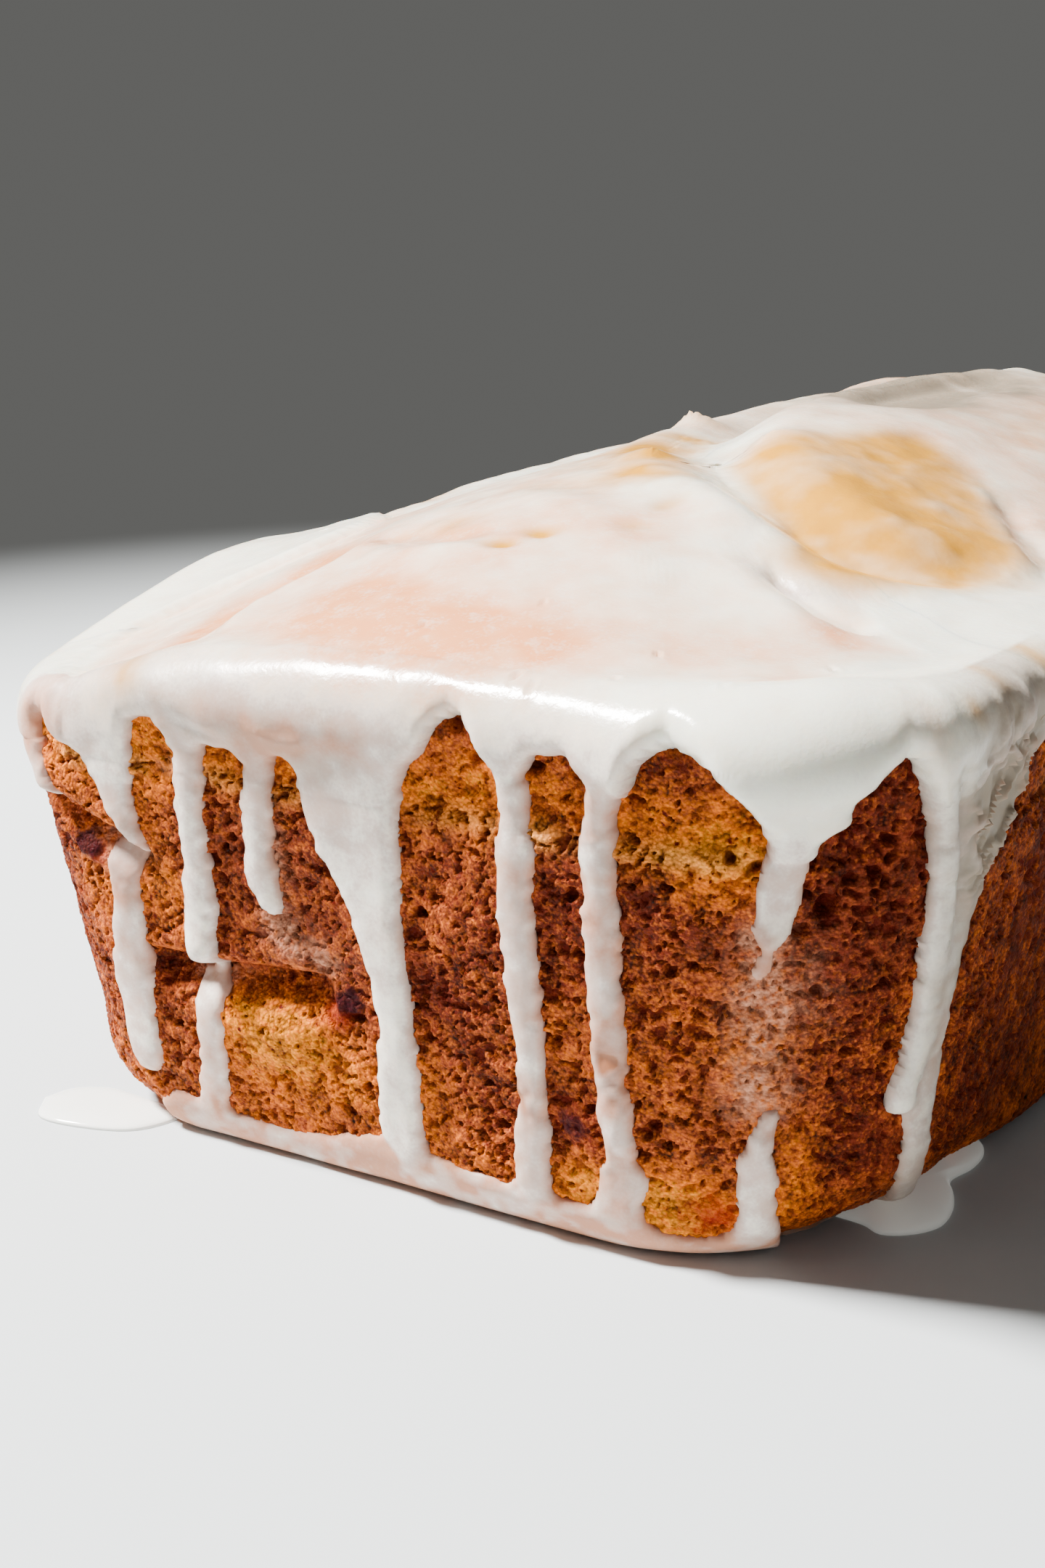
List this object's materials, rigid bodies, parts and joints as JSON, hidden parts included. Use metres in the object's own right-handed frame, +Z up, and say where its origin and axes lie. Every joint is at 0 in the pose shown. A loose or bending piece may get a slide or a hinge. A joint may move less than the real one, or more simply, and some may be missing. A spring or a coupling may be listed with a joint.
{
  "type": "drizzle loaf cake",
  "caption": "Uncut sponge loaf cake with a domed, cracked top, coated in icing that runs down all four walls to a thin band along the foot.",
  "frame": {"origin": "centre of the cake's box on the surface it stands on", "axes": "+Z up, Y along the loaf, the end with the widest run of icing at -Y, +X to the right of that end"},
  "size_m": [0.1197, 0.221, 0.0756],
  "materials": {
    "crumb": "browned open crumb, red-brown with golden patches, matt",
    "icing": "white sugar icing, glossy, slightly see-through where thin"
  },
  "bodies": {
    "root": {"sponge": "crumb", "icing": "icing"}
  },
  "joints": []
}
